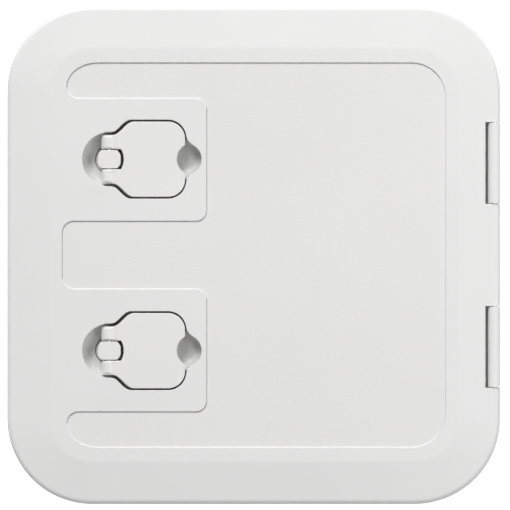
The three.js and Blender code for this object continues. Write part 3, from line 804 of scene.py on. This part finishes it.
def add_skin(build):
    """The rings from the flat top over the edge to the inner seal rib, less the two hinge notches."""
    profile, notch_ring = top_profile()
    bands = rings(profile)
    bands += lower_edge()
    low_notch_ring = len(bands)
    bands.append(ring(NOTCH_X, LID_BOTTOM))
    bands += rings(rounded_step(UNDERSIDE))
    count = len(bands[0])
    notch_lines = (FIRST_NOTCH_LINE, FIRST_NOTCH_LINE + 2)
    faces = []
    for k in range(len(bands) - 1):
        for i in range(count):
            if i in notch_lines and notch_ring <= k < low_notch_ring:
                continue
            j = (i + 1) % count
            faces.append((k * count + i, k * count + j, (k + 1) * count + j, (k + 1) * count + i))
    for line in notch_lines:
        for i in (line, line + 1):
            faces.append(tuple(k * count + i for k in range(notch_ring, low_notch_ring + 1)))
        corners = ((notch_ring, line), (notch_ring, line + 1))
        corners += ((low_notch_ring, line + 1), (low_notch_ring, line))
        faces.append(tuple(k * count + i for k, i in corners))
    build.add([p for band in bands for p in band], faces)
    return bands[0], bands[-1]


def add_panel(build):
    """The tread panel's walls and floor; the walls facing away from the key light get painted shade."""
    panel = panel_outline()
    wall = [at(grown(panel, out), TOP + z) for out, z in PANEL_WALL]
    ahead = np.roll(panel, -1, axis=0) - panel
    facing = np.column_stack([ahead[:, 1], -ahead[:, 0]]) / np.linalg.norm(ahead, axis=1)[:, None]
    # Walls facing away from the key light get the darker finish: painted shade.
    shaded_walls = np.where(facing @ LIGHT_SIDE > SHADE_FACING, SHADED_WALL_SLOT, 0)
    build.strip(wall[:WALL_STARTS + 1])
    build.strip(wall[WALL_STARTS:], np.tile(shaded_walls, len(wall) - WALL_STARTS - 1))
    build.fill([grown(panel, PANEL_WALL[-1][0])], level(TOP - PANEL_DEPTH), slot=TREAD_SLOT)
    return grown(panel, PANEL_WALL[0][0])


def add_cells(build, rib_edge, hollow_rims):
    """The ribs' lower faces, and the cells between them up to the roof."""
    cells = rib_cells()
    build.fill([rib_edge, *(grown(cell, CELL_WALL[0][0]) for cell in cells)], level(SEAL_RIB_LOW))
    for cell in cells:
        build.strip([at(grown(cell, out), SEAL_RIB_LOW + z) for out, z in CELL_WALL])
        inner = grown(cell, CELL_WALL[-1][0])
        holes = [rim for rim in hollow_rims if inside(rim.mean(axis=0)[None, :], inner)[0]]
        build.fill([inner, *holes], level(ROOF))


def lid():
    build = Build()
    top_edge, rib_edge = add_skin(build)
    panel_edge = add_panel(build)
    hollow, rim, under_rim = latch_hollow()
    places = [latch_place(side) for side in (1, -1)]
    for place in places:
        build.add(np.array(hollow.verts) + np.array([*place, 0.0]), hollow.faces, hollow.slots)
    build.fill([top_edge, panel_edge, *(rim + place for place in places)], level(TOP))
    add_cells(build, rib_edge, [under_rim + place for place in places])
    made = build.object("lid_moulding", [WHITE, GAP_SHADE, DISH_SHADED, TREAD, SHADED_WALL])
    bevel_notches(made)
    return made


def notch_edges(work, backs):
    """The upper edge of each notch's back wall, or else every sharp edge of the notches' end walls."""
    lines = [y * MM for y in NOTCH_LINES]
    near = 1e-6
    chosen = []
    for edge in work.edges:
        a, b = (v.co for v in edge.verts)
        if min(a.x, b.x) < NOTCH_X * MM - near:
            continue
        flat = [face.normal for face in edge.link_faces]
        if len(flat) != 2 or flat[0].angle(flat[1]) < math.radians(50):
            continue
        if abs(a.x - NOTCH_X * MM) < near and abs(b.x - NOTCH_X * MM) < near:
            wanted = backs and abs(a.y - b.y) > 1.0 * MM and min(a.z, b.z) > HINGE_Z * MM
        else:
            wanted = not backs and any(abs(a.y - y) < near and abs(b.y - y) < near for y in lines)
        if wanted:
            chosen.append(edge)
    return chosen


def bevel_notches(piece):
    """Rounds the rims of the two hinge notches."""
    work = bmesh.new()
    work.from_mesh(piece.data)
    for backs, size in ((True, NOTCH_BACK_BEVEL), (False, NOTCH_BEVEL)):
        work.normal_update()
        bmesh.ops.bevel(work, geom=notch_edges(work, backs), offset=size * MM, segments=3, profile=0.5,
                        affect="EDGES", clamp_overlap=True)
    work.to_mesh(piece.data)
    work.free()
    piece.data.shade_smooth()
    piece.data.set_sharp_from_angle(angle=math.radians(38))


# ---- handle ----

HANDLE_FILLET = 0.6
VALLEY_Z = 54.1
VALLEY_END = 7.5
SCOOP_ROUND = 2.0


def handle_outline():
    """Fork with its slot, shoulders, grip plate and the scoop in the free end."""
    side = PLATE_END - SCOOP_ROUND
    scoop_y = math.sqrt((SCOOP_R + SCOOP_ROUND) ** 2 - (SCOOP_X - side) ** 2)
    meet = math.degrees(math.atan2(scoop_y, SCOOP_X - side))
    corner_x, corner_y = PLATE_END - PLATE_CORNER, PLATE_HALF - PLATE_CORNER
    slot_centre = SLOT_END - SLOT_END_R
    slot_x = slot_centre + math.sqrt(SLOT_END_R ** 2 - SLOT_HALF ** 2)
    sweep = math.degrees(math.asin(SLOT_HALF / SLOT_END_R))
    back = PIN_X - BARREL_R
    plain = lambda points: [(x, y, 0) for x, y in points]
    corners = [(back, -FORK_HALF, 1.4)]
    corners += plain(handle_side(0, 0, -1))
    corners += plain(arc(corner_x, -corner_y, PLATE_CORNER, -90, 0, 16))
    corners += plain(arc(side, -scoop_y, SCOOP_ROUND, 0, meet, 6))
    corners += plain(arc(SCOOP_X, 0, SCOOP_R, 180 + meet, 180 - meet, 30)[1:-1])
    corners += plain(arc(side, scoop_y, SCOOP_ROUND, -meet, 0, 6))
    corners += plain(arc(corner_x, corner_y, PLATE_CORNER, 0, 90, 16))
    corners += plain(handle_side(0, 0, 1)[::-1])
    corners += [(back, FORK_HALF, 1.4), (back, SLOT_HALF, 1.2), (slot_x, SLOT_HALF, 0.9)]
    corners += plain(arc(slot_centre, 0, SLOT_END_R, sweep, -sweep, 8)[1:-1])
    corners += [(slot_x, -SLOT_HALF, 0.9), (back, -SLOT_HALF, 1.2)]
    return part_rounded(corners)


def part_rounded(corners, steps=6):
    """An outline whose corners (x, y, radius) are rounded, or kept as points where radius is 0."""
    points = []
    count = len(corners)
    for i, (x, y, radius) in enumerate(corners):
        if radius == 0:
            points.append((x, y))
            continue
        before, after = corners[i - 1][:2], corners[(i + 1) % count][:2]
        points.extend(rounded_corner(before, (x, y), after, radius, steps))
    return without_repeats(points)


def rounded_corner(before, here, after, radius, steps):
    here = np.array(here, float)
    a, b = unit(before, here), unit(after, here)
    half = math.acos(float(np.clip(a @ b, -1, 1))) / 2
    reach = radius / math.tan(half)
    centre = here + (a + b) / np.linalg.norm(a + b) * radius / math.sin(half)
    a0 = math.atan2(*(here + a * reach - centre)[::-1])
    a1 = math.atan2(*(here + b * reach - centre)[::-1])
    turn = (a1 - a0 + math.pi) % (2 * math.pi) - math.pi
    return arc(centre[0], centre[1], radius, math.degrees(a0), math.degrees(a0 + turn), steps)


def barrel_rise(x):
    return np.sqrt(np.maximum(BARREL_R ** 2 - (x - PIN_X) ** 2, 0))


def handle_top(points):
    """Barrel over the pin, a shallow valley, then the grip plate."""
    x = points[:, 0]
    join = PIN_X + math.sqrt(BARREL_R ** 2 - (VALLEY_Z - PIN_Z) ** 2)
    ramp = VALLEY_Z + (PLATE_TOP - VALLEY_Z) * smooth_step((x - join - 0.6) / (VALLEY_END - join - 0.6))
    return np.where(x < join, PIN_Z + barrel_rise(x), ramp)


def handle_bottom(points):
    x = points[:, 0]
    low = PLATE_TOP - PLATE_THICK
    end = PIN_X + BARREL_R
    ramp = PIN_Z + (low - PIN_Z) * smooth_step((x - end) / 1.6)
    return np.where(x < end, PIN_Z - barrel_rise(x), ramp)


def mark_slot_walls(build, near, far):
    """Paints shade on the walls between tongue and tines, near to far from the middle."""
    for number, face in enumerate(build.faces):
        x, y, z = np.mean([build.verts[i] for i in face], axis=0)
        if near < abs(y) < far and x < SLOT_END and z < TONGUE_TOP - 0.7:
            build.slots[number] = GAP_SHADE_SLOT


def handle(name, side):
    build = Build()
    outline = handle_outline()
    insets = (0.0, 0.02, 0.07, 0.15, 0.26, 0.38, 0.5, 0.6, 0.85)
    loops = [grown(outline, -inset) for inset in insets]
    spots = hexagon_points(loops[-1], 0.8, 0.4)
    spots = spots[spots[:, 0] < VALLEY_END + 3]
    sides = []
    for height, sign in ((handle_top, -1), (handle_bottom, 1)):
        made = []
        for loop, inset in zip(loops, insets):
            thick = handle_top(loop) - handle_bottom(loop)
            radius = np.clip(0.45 * thick, 1e-3, HANDLE_FILLET)
            made.append(np.column_stack([loop, height(loop) + sign * fillet(inset, radius)]))
        build.strip(made)
        build.fill([loops[-1]], height, spots)
        sides.append(made[0])
    build.strip(sides)
    # The walls of the slot get painted shade.
    mark_slot_walls(build, SLOT_HALF - 0.05, SLOT_HALF + 0.05)
    return build.object(name, [HANDLE_WHITE, GAP_SHADE], latch_place(side))


# ---- plates, turned pieces and the rest ----

def slab(build, outline, low, high, radius, holes=()):
    """A flat piece with rounded edges; holes are outlines given the same way round."""
    insets = [radius * (1 - math.cos(a)) for a in np.linspace(0, math.pi / 2, 5)]
    drops = [radius * (1 - math.sin(a)) for a in np.linspace(0, math.pi / 2, 5)]
    loops = [grown(outline, -inset) for inset in insets]
    build.strip([at(loop, high - drop) for loop, drop in zip(loops, drops)])
    build.strip([at(loop, low + drop) for loop, drop in zip(loops, drops)])
    build.strip([at(outline, high - radius), at(outline, low + radius)])
    for z in (low, high):
        build.fill([loops[-1], *holes], level(z))
    for hole in holes:
        build.strip([at(hole, low), at(hole, high)])


def turned(build, profile, steps=64, x=0.0, y=0.0):
    """A profile of (radius, z) points turned about Z; it starts and ends on the axis or closes."""
    profile = list(profile)
    if profile[0][0] > 0:
        profile.append(profile[0])
    loops = [at(circle(max(radius, 1e-9), steps, x, y), z) for radius, z in profile]
    build.strip(loops)


def eased_disc(radius, low, high, ease):
    return [(0, low), (radius - ease, low), (radius, low + ease),
            (radius, high - ease), (radius - ease, high), (0, high)]


def square(half, corner):
    """The corners of a square, ready for box_rounded."""
    signs = ((-1, -1), (1, -1), (1, 1), (-1, 1))
    return [(half * x, half * y, corner, corner) for x, y in signs]


def spindle_head(name, side):
    build = Build()
    turned(build, [
        (0, DISC_LOW), (DISC_R - 0.3, DISC_LOW), (DISC_R, DISC_LOW + 0.3), (DISC_R, DISC_TOP - 0.2),
        (DISC_R - 0.06, DISC_TOP - 0.06), (DISC_R - 0.2, DISC_TOP), (0, DISC_TOP),
    ], 96)
    stem_top = DISC_LOW + 0.2
    turned(build, [(0, STEM_LOW), (STEM_R - 0.3, STEM_LOW), (STEM_R, STEM_LOW + 0.3),
                   (STEM_R, stem_top), (0, stem_top)])
    slab(build, tongue_outline(), DISC_TOP - 0.4, TONGUE_TOP, 0.5)
    # The tongue's side walls get painted shade.
    mark_slot_walls(build, TONGUE_HALF - 0.05, TONGUE_HALF + 0.05)
    return build.object(name, [HANDLE_WHITE, GAP_SHADE], latch_place(side))


def tongue_outline():
    """A disc cut by flats on its sides and ends, with the corners eased."""
    side_x = math.sqrt(TONGUE_R ** 2 - TONGUE_HALF ** 2)
    end_y = math.sqrt(TONGUE_R ** 2 - TONGUE_REACH ** 2)
    start = math.degrees(math.atan2(end_y, TONGUE_REACH))
    stop = math.degrees(math.atan2(TONGUE_HALF, side_x))
    quarter = arc(0, 0, TONGUE_R, start + 3, stop - 3, 8)
    points = [(TONGUE_REACH, end_y - 0.5), *quarter, (side_x - 0.6, TONGUE_HALF)]
    points += [(-x, y) for x, y in reversed(points)]
    points += [(-x, -y) for x, y in points]
    return without_repeats(points)


def eased_ends(near, far, ease):
    """How far in, and where along a bar, each loop of its two eased ends lies."""
    small = ease * 0.3
    return ((ease, near), (small, near + small), (0, near + ease),
            (0, far - ease), (small, far - small), (ease, far))


def pin(name, radius, near, far, x, z, move=(0.0, 0.0)):
    """A round bar along Y."""
    circles = [(radius - inset, y) for inset, y in eased_ends(near, far, 0.3)]
    loops = []
    for reach, y in [(1e-9, near), *circles, (1e-9, far)]:
        flat = circle(reach, 32, x, z)
        loops.append(np.column_stack([flat[:, 0], np.full(len(flat), y), flat[:, 1]]))
    build = Build()
    build.strip(loops)
    return build.object(name, [STEEL], move)


def cam_arm(name, side):
    hub_angle = math.degrees(math.asin(CAM_HALF / CAM_HUB_R))
    tip_angle = math.degrees(math.asin(CAM_HALF / CAM_REACH))
    outline = arc(0, 0, CAM_HUB_R, -180 + hub_angle, 180 - hub_angle, 40)
    outline += arc(0, 0, CAM_REACH, 180 - tip_angle, 180 + tip_angle, 10)
    build = Build()
    hole = np.array([corner[:2] for corner in square(SQUARE_HOLE_HALF, 0)])
    slab(build, without_repeats(outline), CAM_LOW, CAM_TOP, CAM_ROUND, [hole])
    end = CAM_RIB_END_R
    corners = ((-CAM_RIB_FAR, -1), (-CAM_RIB_NEAR, -1), (-CAM_RIB_NEAR, 1), (-CAM_RIB_FAR, 1))
    rib = box_rounded([(x, way * CAM_RIB_HALF, end, end) for x, way in corners], 6)
    slab(build, rib, CAM_RIB_LOW, CAM_RIB_TOP, 0.2)
    return build.object(name, [NYLON], latch_place(side))


def cam_shaft(name, side):
    build = Build()
    turned(build, eased_disc(SHAFT_R, SHAFT_LOW, SHAFT_TOP, SHAFT_EASE))
    slab(build, box_rounded(square(SQUARE_HALF, SQUARE_CORNER), 3), SQUARE_LOW, SQUARE_TOP, 0.2)
    thread = [(0, THREAD_TIP)]
    for z in np.arange(THREAD_START, THREAD_STOP, THREAD_PITCH):
        thread += [(THREAD_ROOT_R, z), (THREAD_R, z + THREAD_PITCH * 0.45)]
    thread += [(THREAD_END_R, THREAD_END), (0, THREAD_END)]
    turned(build, thread, 48)
    return build.object(name, [STEEL], latch_place(side))


def cam_washer(name, side):
    bore_edge, outer_edge = WASHER_BORE_R + WASHER_EASE, WASHER_R - 0.2
    low, high = WASHER_LOW + WASHER_EASE, WASHER_TOP - WASHER_EASE
    build = Build()
    turned(build, [
        (WASHER_BORE_R, low), (bore_edge, WASHER_LOW), (outer_edge, WASHER_LOW), (WASHER_R, low),
        (WASHER_R, high), (outer_edge, WASHER_TOP), (bore_edge, WASHER_TOP), (WASHER_BORE_R, high),
    ])
    return build.object(name, [STEEL], latch_place(side))


def cam_nut(name, side):
    """A hexagon nut, its corners cut back by the usual cone."""
    angle = np.arange(60) / 60 * 2 * math.pi
    half_across = NUT_CORNER_R * math.cos(math.pi / 6)
    flats = half_across / np.cos((angle + math.pi / 6) % (math.pi / 3) - math.pi / 6)
    direction = np.column_stack([np.cos(angle), np.sin(angle)])
    cone_end = half_across - 0.1
    rise = (flats - cone_end) * 0.55
    rim, face_edge = direction * flats[:, None], direction * cone_end
    bore, bore_edge = direction * NUT_BORE_R, direction * (NUT_BORE_R + NUT_EASE)
    build = Build()
    build.strip([
        at(bore, NUT_LOW + NUT_EASE), at(bore_edge, NUT_LOW), at(face_edge, NUT_LOW),
        np.column_stack([rim, NUT_LOW + rise]), np.column_stack([rim, NUT_TOP - rise]),
        at(face_edge, NUT_TOP), at(bore_edge, NUT_TOP), at(bore, NUT_TOP - NUT_EASE),
        at(bore, NUT_LOW + NUT_EASE),
    ])
    return build.object(name, [STEEL], latch_place(side))


def o_ring(name, side):
    build = Build()
    turned(build, [(O_RING_R + O_RING_SECTION_R * math.cos(a), O_RING_Z + O_RING_SECTION_R * math.sin(a))
                   for a in np.arange(16) / 16 * 2 * math.pi])
    return build.object(name, [RUBBER], latch_place(side))


def seal():
    """A D-section strip run round the lid's channel."""
    middle, half = (SEAL_INNER + SEAL_OUTER) / 2, (SEAL_OUTER - SEAL_INNER) / 2
    bulb = [(middle + half * math.cos(a), SEAL_LOW + half + half * math.sin(a))
            for a in np.linspace(0, -math.pi, 17)]
    profile = [(SEAL_OUTER, SEAL_TOP), *bulb, (SEAL_INNER, SEAL_TOP)]
    build = Build()
    build.strip(rings([*profile, profile[0]]))
    return build.object("lid_seal_strip", [RUBBER])


# ---- frame ----

DECK, FLANGE_TOP, FLANGE_HALF = 40.0, 43.0, 186.0
COLLAR_OUTER, COLLAR_INNER = 158.0, 155.0
LEDGE_LOW, LEDGE_TOP, LIP_OUTER, OPENING_HALF, LIP_TOP = 31.0, 33.5, 150.0, 147.0, 44.0
SCREW_LINE, SCREW_PITCH, SCREW_HOLE_R, SCREW_HEAD_R, SCREW_HEAD_DEPTH = 172.5, 98.0, 2.6, 4.9, 2.3
KNUCKLE_R, KNUCKLE_END_GAP, KNUCKLE_EASE = 4.6, 0.45, 0.4
WEB_IN, WEB_OUT = 3.4, 3.1
WEB_FOOT = FLANGE_TOP - 0.5


def frame_moulding():
    build = Build()
    flange_in, under_in = COLLAR_INNER + 1.0, COLLAR_OUTER + 1.0
    edge = FLANGE_HALF - 0.9
    build.strip(rings(rounded_step([
        (flange_in, FLANGE_TOP), (COLLAR_INNER, FLANGE_TOP), (COLLAR_INNER, LEDGE_TOP),
        (LIP_OUTER, LEDGE_TOP), (LIP_OUTER, LIP_TOP), (OPENING_HALF, LIP_TOP),
        (OPENING_HALF, LEDGE_LOW), (COLLAR_INNER, LEDGE_LOW), (COLLAR_INNER, 0.0),
        (COLLAR_OUTER, 0.0), (COLLAR_OUTER, DECK), (under_in, DECK),
    ], 0.35)))
    build.strip(rings(rounded_step([
        (edge, FLANGE_TOP), (FLANGE_HALF, FLANGE_TOP), (FLANGE_HALF, DECK), (edge, DECK),
    ], 0.6)))
    places = [(side * SCREW_LINE, step * SCREW_PITCH) for side in (1, -1) for step in (-1, 0, 1)]
    places += [(y, x + math.copysign(LONGER, x)) for x, y in places]
    head_r, hole_r = SCREW_HEAD_R + 0.15, SCREW_HOLE_R + 0.1
    heads = [circle(head_r, 40, x, y) for x, y in places]
    feet = [circle(hole_r, 40, x, y) for x, y in places]
    build.fill([ring(edge, 0), ring(flange_in, 0), *heads], level(FLANGE_TOP))
    build.fill([ring(edge, 0), ring(under_in, 0), *feet], level(DECK))
    cone_low = FLANGE_TOP - SCREW_HEAD_DEPTH
    hole = ((head_r, FLANGE_TOP), (SCREW_HEAD_R, FLANGE_TOP - 0.1), (hole_r, cone_low),
            (SCREW_HOLE_R, cone_low - 0.1), (SCREW_HOLE_R, DECK + 0.1), (hole_r, DECK))
    for x, y in places:
        build.strip([at(circle(radius, 40, x, y), z) for radius, z in hole])
    for side in (1, -1):
        knuckle(build, side)
    return build.object("frame_moulding", [WHITE])


def knuckle(build, side):
    """Barrel and web of one hinge knuckle, run along Y with eased ends."""
    near, far = NOTCH_NEAR + KNUCKLE_END_GAP, NOTCH_FAR - KNUCKLE_END_GAP
    y0, y1 = (near, far) if side > 0 else (-far, -near)
    start = math.asin(WEB_IN / KNUCKLE_R)
    stop = math.asin(WEB_OUT / KNUCKLE_R)
    section = [(HINGE_X - WEB_IN, WEB_FOOT)]
    section += [(HINGE_X + KNUCKLE_R * math.cos(a), HINGE_Z + KNUCKLE_R * math.sin(a))
                for a in np.linspace(1.5 * math.pi - start, -0.5 * math.pi + stop, 40)]
    section += [(HINGE_X + WEB_OUT, WEB_FOOT)]
    section = np.array(section)[::-1]
    loops = []
    for inset, y in eased_ends(y0, y1, KNUCKLE_EASE):
        loop = grown(section, -inset)
        loops.append(np.column_stack([loop[:, 0], np.full(len(loop), y), loop[:, 1]]))
    build.strip(loops)
    for loop in (loops[0], loops[-1]):
        build.add(loop, [tuple(range(len(loop)))])


# ---- make and place every piece ----

def settle(piece, body, node):
    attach(piece, body)
    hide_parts(node)


settle(frame_moulding(), "base", "frame")
settle(lid(), "lid_body", "lid")
settle(seal(), "lid_body", "lid_seal")

for place, side in (("upper", 1), ("lower", -1)):
    handle_body, cam_body = f"handle_body_{place}", f"cam_body_{place}"
    near, far = sorted((side * HINGE_ROD_NEAR, side * HINGE_ROD_FAR))
    hinge_rod = pin(f"hinge_rod_{place}", HINGE_ROD_R, near, far, HINGE_X, HINGE_Z)
    settle(hinge_rod, "lid_body", f"hinge_pin_{place}")
    settle(spindle_head(f"spindle_{place}", side), "lid_body", f"spindle_head_{place}")
    settle(o_ring(f"spindle_ring_{place}", side), "lid_body", f"spindle_o_ring_{place}")
    settle(handle(f"handle_moulding_{place}", side), handle_body, f"handle_{place}")
    handle_rod = pin(f"handle_rod_{place}", HANDLE_ROD_R, -HANDLE_ROD_HALF, HANDLE_ROD_HALF,
                     PIN_X, PIN_Z, latch_place(side))
    settle(handle_rod, handle_body, f"handle_pin_{place}")
    settle(cam_shaft(f"shaft_{place}", side), cam_body, f"cam_shaft_{place}")
    settle(cam_arm(f"cam_arm_{place}", side), cam_body, f"cam_{place}")
    settle(cam_washer(f"washer_{place}", side), cam_body, f"cam_washer_{place}")
    settle(cam_nut(f"nut_{place}", side), cam_body, f"cam_nut_{place}")


# ---- floor, light and camera ----

FLOOR_HALF = 6.0
FLOOR_GLOW, FLOOR_SEEN = 0.12, 0.8        # emission for the light it gives, and as the camera sees it


def floor():
    material, tree, shader = node_material("pale_floor")
    tone = mixed(tree, noise(tree, 3.0), (0.93, 0.93, 0.93), (0.95, 0.95, 0.95))
    path = tree.nodes.new("ShaderNodeLightPath")
    glow = spread(tree, path.outputs["Is Camera Ray"], FLOOR_GLOW, FLOOR_SEEN, 0.0, 1.0)
    plug(tree, shader, {"Base Color": tone, "Roughness": 0.8})
    plug(tree, shader, {"Emission Color": (1, 1, 1, 1), "Emission Strength": glow})
    from_below = tree.nodes.new("ShaderNodeNewGeometry").outputs["Backfacing"]
    clear = tree.nodes.new("ShaderNodeBsdfTransparent").outputs[0]
    either = tree.nodes.new("ShaderNodeMixShader")
    plug(tree, either, {0: from_below, 1: shader.outputs[0], 2: clear})
    plug(tree, tree.nodes["Material Output"], {"Surface": either.outputs[0]})
    mesh = bpy.data.meshes.new("floor")
    corners = [(x, y, 0) for x, y, *_ in square(FLOOR_HALF, 0)]
    mesh.from_pydata(corners, [], [(0, 1, 2, 3)])
    mesh.materials.append(material)
    made = bpy.data.objects.new("floor", mesh)
    bpy.context.collection.objects.link(made)


def softbox(name, place, size, power, target=(0.0, 0.0, 0.05)):
    light = bpy.data.lights.new(name, "AREA")
    light.shape = "RECTANGLE"
    light.size, light.size_y = size
    light.energy = power
    made = bpy.data.objects.new(name, light)
    made.location = place
    made.rotation_euler = (Vector(target) - Vector(place)).to_track_quat("-Z", "Y").to_euler()
    bpy.context.collection.objects.link(made)


def sky(strength):
    world = bpy.data.worlds.new("studio")
    world.use_nodes = True
    background = world.node_tree.nodes["Background"]
    background.inputs["Color"].default_value = (1, 1, 1, 1)
    background.inputs["Strength"].default_value = strength
    bpy.context.scene.world = world


def camera():
    """Straight down with a long lens, +Y up in the picture, the hatch almost filling it."""
    lens = bpy.data.cameras.new("camera")
    lens.lens = 350.0
    lens.sensor_width = 36.0
    pixels_across, image_width = 493.5, 510.0
    width = 2 * LID_HALF * MM * image_width / pixels_across
    distance_up = width * lens.lens / lens.sensor_width
    made = bpy.data.objects.new("camera", lens)
    made.location = (0.001, 0.0, EDGE_TOP * MM + distance_up)
    bpy.context.collection.objects.link(made)
    bpy.context.scene.camera = made


# Tones and powers were chosen by comparing renders with the photo.
floor()
sky(0.215)
softbox("key", (-1.2, 3.6, 2.9), (1.6, 1.6), 197.0)
softbox("right", (1.2, 0.0, 1.5), (1.0, 1.0), 14.0)
softbox("fill", (-0.4, -1.9, 1.3), (1.4, 1.4), 5.4)
camera()
bpy.context.scene.view_settings.view_transform = "Standard"
